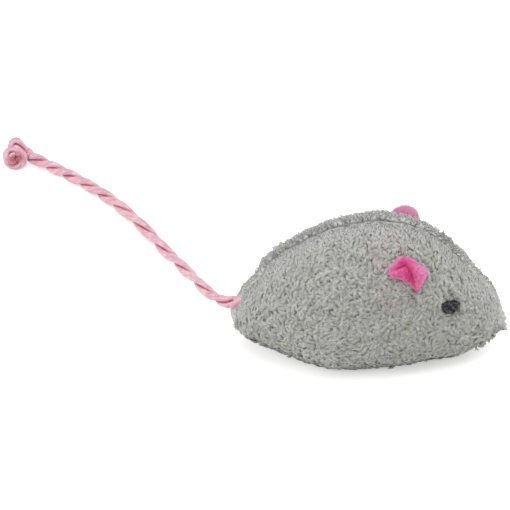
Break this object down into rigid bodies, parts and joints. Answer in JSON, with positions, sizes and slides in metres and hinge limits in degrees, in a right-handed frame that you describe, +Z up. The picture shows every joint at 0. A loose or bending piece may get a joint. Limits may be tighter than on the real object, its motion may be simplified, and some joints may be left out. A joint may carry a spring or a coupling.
{
  "type": "catnip mouse",
  "caption": "Stuffed plush mouse toy sewn from panels over a catnip sachet, with felt ears, thread eyes and a knotted two-ply cord tail.",
  "frame": {"origin": "on the floor under the middle of the body's box, leaving out the loose tail", "axes": "+X from the rump to the nose, +Y to the mouse's left, +Z up from the floor that the belly rests on"},
  "size_m": [0.1375, 0.1102, 0.0428],
  "materials": {
    "grey_plush": "short curly pile",
    "stuffing_fibre": "loose white fibre",
    "sachet_cloth": "soft pressed cloth",
    "dried_leaf": "crumbled dry leaf",
    "grey_thread": "spun sewing thread",
    "pink_felt": "pressed felt",
    "pink_thread": "spun sewing thread",
    "black_thread": "waxed thread with a slight shine",
    "pink_cord": "satin two-ply cord"
  },
  "bodies": {
    "root": {"left_side_panel": "grey_plush", "right_side_panel": "grey_plush", "belly_panel": "grey_plush", "front_stuffing": "stuffing_fibre", "rear_stuffing": "stuffing_fibre", "sachet_front_sheet": "sachet_cloth", "sachet_rear_sheet": "sachet_cloth", "catnip_leaf": "dried_leaf", "ridge_seam_thread": "grey_thread", "left_belly_seam_thread": "grey_thread", "right_belly_seam_thread": "grey_thread", "closing_seam_thread": "grey_thread", "left_ear_tack_thread": "pink_thread", "right_ear_tack_thread": "pink_thread", "left_eye": "black_thread", "right_eye": "black_thread", "eye_thread": "black_thread", "tail_root": "pink_cord"},
    "tail_base": {"tail_base": "pink_cord"},
    "tail": {"tail_cord": "pink_cord", "tail_knot": "pink_cord"},
    "left_ear": {"left_ear": "pink_felt"},
    "right_ear": {"right_ear": "pink_felt"}
  },
  "joints": [
    {"name": "tail_swing", "type": "hinge", "parent": "root", "child": "tail_base", "pos_m": [-0.0386, 0, 0.0151], "axis": [0, 0, 1], "range_deg": [-45, 115]},
    {"name": "tail_lift", "type": "hinge", "parent": "tail_base", "child": "tail", "pos_m": [-0.04105, 0.00206, 0.01497], "axis": [0.8563, 0.5165, 0], "range_deg": [0, 80]},
    {"name": "left_ear_fold", "type": "hinge", "parent": "root", "child": "left_ear", "pos_m": [0.01224, 0.01451, 0.02983], "axis": [-0.9006, 0.374, -0.2214], "range_deg": [-10, 60], "stiffness_Nm_per_rad": 0.0002},
    {"name": "right_ear_fold", "type": "hinge", "parent": "root", "child": "right_ear", "pos_m": [0.01224, -0.01451, 0.02983], "axis": [0.9006, 0.374, 0.2214], "range_deg": [-10, 60], "stiffness_Nm_per_rad": 0.0002}
  ]
}
